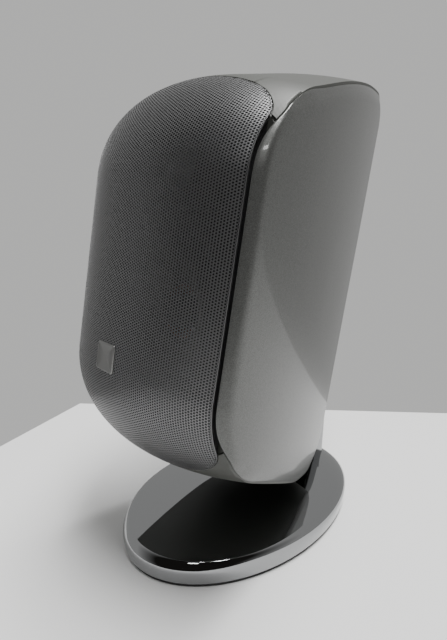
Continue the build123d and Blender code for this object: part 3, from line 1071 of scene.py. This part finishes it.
@dataclass
class OvalBase:
    """Polished oval plate with a sloping bevel and a flat mirror top.

    Attributes:
        rings: (half width, half length, centre y, height) of each level, in millimetres.
        segments: points round the oval.
    """

    rings: list[tuple[float, float, float, float]] = field(default_factory=lambda: [
        (50.6, 77.1, 0.0, 2.02), (51.6, 78.1, 0.0, 2.02), (51.95, 78.45, 0.0, 2.25), (52.1, 78.6, 0.0, 2.8),
        (52.35, 78.85, 0.0, 6.0), (52.45, 78.95, 0.0, 8.2), (52.35, 78.8, -0.02, 9.2),
        (52.1, 78.2, -0.3, 10.0), (51.7, 77.0, -0.9, 10.9), (51.2, 75.4, -1.9, 11.7),
        (50.6, 73.4, -3.3, 12.4), (49.8, 71.0, -5.1, 12.95), (49.0, 68.6, -7.0, 13.3),
        (48.4, 66.9, -8.3, 13.5), (48.0, 65.8, -9.15, 13.58), (47.8, 65.4, -9.3, 13.6),
        (47.0, 64.4, -9.3, 13.7), (42.0, 57.5, -9.3, 14.2), (34.0, 46.6, -9.3, 14.85),
        (24.0, 32.9, -9.3, 15.42), (12.0, 16.4, -9.3, 15.8), (2.0, 2.7, -9.3, 15.9)])
    segments: int = 256

    def build(self, palette: Palette) -> None:
        """Makes the plate.

        Args:
            palette: the materials.
        """
        angles = np.linspace(0, 2 * math.pi, self.segments, endpoint=False)
        points = [np.stack([a * np.cos(angles), y + b * np.sin(angles), np.full_like(angles, z)], -1)
                  for a, b, y, z in self.rings]
        faces = capped_faces(len(self.rings), self.segments)
        obj = mesh_object("oval_base", np.concatenate(points) * MM, faces)
        recalculate(obj)
        palette.apply(obj, "polished_chrome")
        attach(obj, Body.STAND.value)
        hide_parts("base_plate")


@dataclass
class StandArm:
    """Polished arm that rises at the rear and bends forward to the pivot.

    Attributes:
        half_width: half width across.
        edge_radius: radius of the blade's long edges.
        path: (y, z, thickness) along the arm, in millimetres.
        pivot: (y, z) of the knuckle's centre.
        knuckle: radius of the knuckle.
    """

    half_width: float = 9.45
    edge_radius: float = 2.4
    path: tuple[tuple[float, float, float], ...] = (
        (65.0, 9.0, 13.4), (65.0, 11.6, 12.6), (65.0, 13.5, 12.1), (65.0, 17.0, 11.9), (65.0, 40.0, 11.9),
        (64.4, 45.0, 12.1), (61.8, 49.2, 12.8), (58.0, 53.0, 13.4), (54.0, 56.6, 13.9), (50.6, 59.4, 14.2))
    pivot: tuple[float, float] = (47.6, 61.8)
    knuckle: float = 7.1

    def build(self, palette: Palette) -> None:
        """Makes the arm and its knuckle.

        Args:
            palette: the materials.
        """
        arm = self.build_blade()
        for obj in (arm, self.build_knuckle()):
            recalculate(obj)
            palette.apply(obj, "polished_chrome")
            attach(obj, Body.STAND.value)
        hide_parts("stand_arm")

    def build_blade(self):
        """Makes the bent blade between the foot and the knuckle.

        Returns:
            The mesh object.
        """
        line = np.array(self.path)
        radius = self.edge_radius
        rings = []
        for i, (y, z, thick) in enumerate(line):
            ahead = line[min(i + 1, len(line) - 1), :2] - line[max(i - 1, 0), :2]
            ahead = ahead / np.linalg.norm(ahead)
            across = np.array([ahead[1], -ahead[0]])
            ring = []
            for sx, sy, cosine, sine in corner_turns(6):
                x = sx * (self.half_width - radius) + radius * cosine
                w = sy * (thick / 2 - radius) + radius * sine
                ring.append((x, y + across[0] * w, z + across[1] * w))
            rings.append(np.array(ring))
        faces = capped_faces(len(rings), len(rings[0]))
        return mesh_object("arm_blade", np.concatenate(rings) * MM, faces)

    def build_knuckle(self):
        """Makes the round knuckle with its rounded rims.

        Returns:
            The mesh object.
        """
        segments = 64
        angles = np.linspace(0, 2 * math.pi, segments, endpoint=False)
        profile = [(self.half_width, 0.6), (self.half_width, self.knuckle - 0.8),
                   (self.half_width - 0.25, self.knuckle - 0.2), (self.half_width - 0.75, self.knuckle)]
        profile = [(-x, r) for x, r in profile] + profile[::-1]
        rings = [np.stack([np.full_like(angles, x), self.pivot[0] + r * np.cos(angles),
                           self.pivot[1] + r * np.sin(angles)], -1) for x, r in profile]
        return mesh_object("arm_knuckle", np.concatenate(rings) * MM, capped_faces(len(rings), segments))


@dataclass
class Badge:
    """Plain square plaque with rounded edges, without any lettering.

    Attributes:
        shape: the cabinet's envelope.
        half: half size.
        centre_v: height of its middle.
    """

    shape: CabinetShape
    half: float = 6.2
    centre_v: float = -37.4

    def build(self, palette: Palette) -> None:
        """Makes the plaque with a thin raised border.

        Args:
            palette: the materials.
        """
        rings = []
        levels = ((self.half, 0.35), (self.half, -0.35), (self.half - 0.15, -0.6), (self.half - 0.75, -0.6),
                  (self.half - 0.95, -0.35), (0.4, -0.35))
        for half, lift in levels:
            ring = []
            radius = min(0.7, half * 0.5)
            for sx, sy, cosine, sine in corner_turns(5):
                x = sx * (half - radius) + radius * cosine
                v = sy * (half - radius) + radius * sine
                ring.append((x, self.shape.bow * x * x + lift, self.centre_v + v))
            rings.append(np.array(ring))
        faces = capped_faces(len(rings), len(rings[0]), first=False)
        obj = mesh_object("badge_plaque", self.shape.world(np.concatenate(rings)), faces)
        recalculate(obj)
        palette.apply(obj, "badge_metal")
        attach(obj, Body.CABINET.value)
        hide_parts("badge")


class CadNodes:
    """The CAD nodes that stay visible as they are."""

    def __init__(self, frame: dict, palette: Palette) -> None:
        """Gives each node its finish and smooth shading.

        Args:
            palette: the materials.
        """
        slots = {row["node"]: row["material_slot"] for row in frame["record"]["subparts"]}
        for name, node in frame["nodes"].items():
            palette.apply(node, slots[name])
            node.data.polygons.foreach_set("use_smooth", [True] * len(node.data.polygons))
            node.data.set_sharp_from_angle(angle=math.radians(32))


# --------------------------------------------------------------------------- stage


@dataclass
class Stage:
    """Table, lights and camera.

    Attributes:
        corner: where the table's two rear edges meet, in metres.
        eye: the camera's place, in metres.
        aim: its pitch, roll and yaw, in degrees.
        lens: its focal length on a frame 24 mm high, in millimetres.
    """

    corner: tuple[float, float] = (-0.1955, -0.0034)
    eye: Point = (0.17642, -0.19333, 0.19022)
    aim: Point = (74.455, -1.092, 45.716)
    lens: float = 18.373

    def paint(self, name: str, color: Color, roughness: float):
        """Plain stage material.

        Args:
            name: material name.
            color: base colour.
            roughness: its roughness.

        Returns:
            The material.
        """
        material = bpy.data.materials.new(name)
        material.use_nodes = True
        shader = material.node_tree.nodes["Principled BSDF"]
        shader.inputs["Base Color"].default_value = (*color, 1.0)
        shader.inputs["Roughness"].default_value = roughness
        shader.inputs["Specular IOR Level"].default_value = 0.2
        return material

    def build_table(self) -> None:
        """Pale table top that ends behind the object along two straight edges."""
        cx, cy = self.corner
        table = self.paint("stage_table", (0.80, 0.80, 0.795), 0.5)
        edge = [(cx, cy), (cx + 1.14, cy + 1.12), (1.9, 0.6), (1.9, -1.8), (-0.2, -1.8),
                (cx + 0.52, cy - 1.5)]
        points = np.array([(x, y, 0.0) for x, y in edge] + [(x, y, -0.02) for x, y in edge])
        count = len(edge)
        faces = [tuple(range(count)), tuple(range(2 * count - 1, count - 1, -1))]
        faces += [(i, i + count, (i + 1) % count + count, (i + 1) % count) for i in range(count)]
        obj = mesh_object("stage_floor", points, faces, smooth=False)
        recalculate(obj)
        obj.data.materials.append(table)

    def area(self, name: str, place: Point, aim: Point, size: tuple[float, float], power: float) -> None:
        """One soft rectangular light.

        Args:
            name: light name.
            place: where it hangs.
            aim: what it faces.
            size: width and height.
            power: watts.
        """
        data = bpy.data.lights.new(name, "AREA")
        data.shape = "RECTANGLE"
        data.size, data.size_y = size
        data.energy = power
        obj = bpy.data.objects.new(name, data)
        obj.location = place
        obj.rotation_euler = (Vector(aim) - Vector(place)).to_track_quat("-Z", "Y").to_euler()
        bpy.context.scene.collection.objects.link(obj)

    def build_lights(self) -> None:
        """Ceiling light, a fill from the camera's side, and a soft surround."""
        self.area("ceiling", (0.25, 0.15, 1.9), (0.05, 0.0, 0.1), (1.3, 0.5), 66.0)
        self.area("window", (0.75, -1.0, 1.3), (0.0, 0.0, 0.1), (0.28, 0.12), 3.0)
        world = bpy.data.worlds.new("surround")
        world.use_nodes = True
        tree = world.node_tree
        background = tree.nodes["Background"]
        background.inputs["Strength"].default_value = 0.62
        where = tree.nodes.new("ShaderNodeTexCoord")
        split = tree.nodes.new("ShaderNodeVectorMath")
        split.operation = "DOT_PRODUCT"
        split.inputs[1].default_value = (0.55, -0.62, 0.56)
        ramp = tree.nodes.new("ShaderNodeValToRGB")
        ramp.color_ramp.elements[0].position = 0.25
        ramp.color_ramp.elements[0].color = (0.86, 0.86, 0.85, 1.0)
        ramp.color_ramp.elements[1].position = 0.72
        ramp.color_ramp.elements[1].color = (0.035, 0.033, 0.03, 1.0)
        tree.links.new(where.outputs["Generated"], split.inputs[0])
        tree.links.new(split.outputs["Value"], ramp.inputs["Fac"])
        tree.links.new(ramp.outputs["Color"], background.inputs["Color"])
        bpy.context.scene.world = world

    def build_camera(self) -> None:
        """Hand-held camera a little right of the object and slightly above mid-height."""
        data = bpy.data.cameras.new("camera")
        data.sensor_fit = "VERTICAL"
        data.sensor_height = 24.0
        data.lens = self.lens
        data.clip_start = 0.01
        camera = bpy.data.objects.new("camera", data)
        turn = Euler([math.radians(angle) for angle in self.aim]).to_matrix().to_4x4()
        camera.matrix_world = Matrix.Translation(self.eye) @ turn
        bpy.context.scene.collection.objects.link(camera)
        bpy.context.scene.camera = camera

    def build(self) -> None:
        """Makes the whole stage."""
        self.build_table()
        self.build_lights()
        self.build_camera()


# --------------------------------------------------------------------------- assembly


class Loudspeaker:
    """The whole object, built in order."""

    def __init__(self, frame: dict) -> None:
        """Keeps the frame and makes the materials.
        """
        self.frame = frame
        self.shape = CabinetShape()
        self.palette = Palette(EffectLibrary())

    def build(self) -> None:
        """Makes every visual piece."""
        CadNodes(self.frame, self.palette)
        Grille(self.shape).build(self.palette)
        for side in (1, -1):
            SidePanel(self.shape, side).build(self.palette)
        Badge(self.shape).build(self.palette)
        OvalBase().build(self.palette)
        StandArm().build(self.palette)


def main() -> None:
    """Builds the scene."""
    logging.basicConfig(level=logging.INFO)
    for obj in list(bpy.data.objects):
        bpy.data.objects.remove(obj)
    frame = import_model()
    Loudspeaker(frame).build()
    Stage().build()
    bpy.context.view_layer.update()


if __name__ == "__main__":
    main()
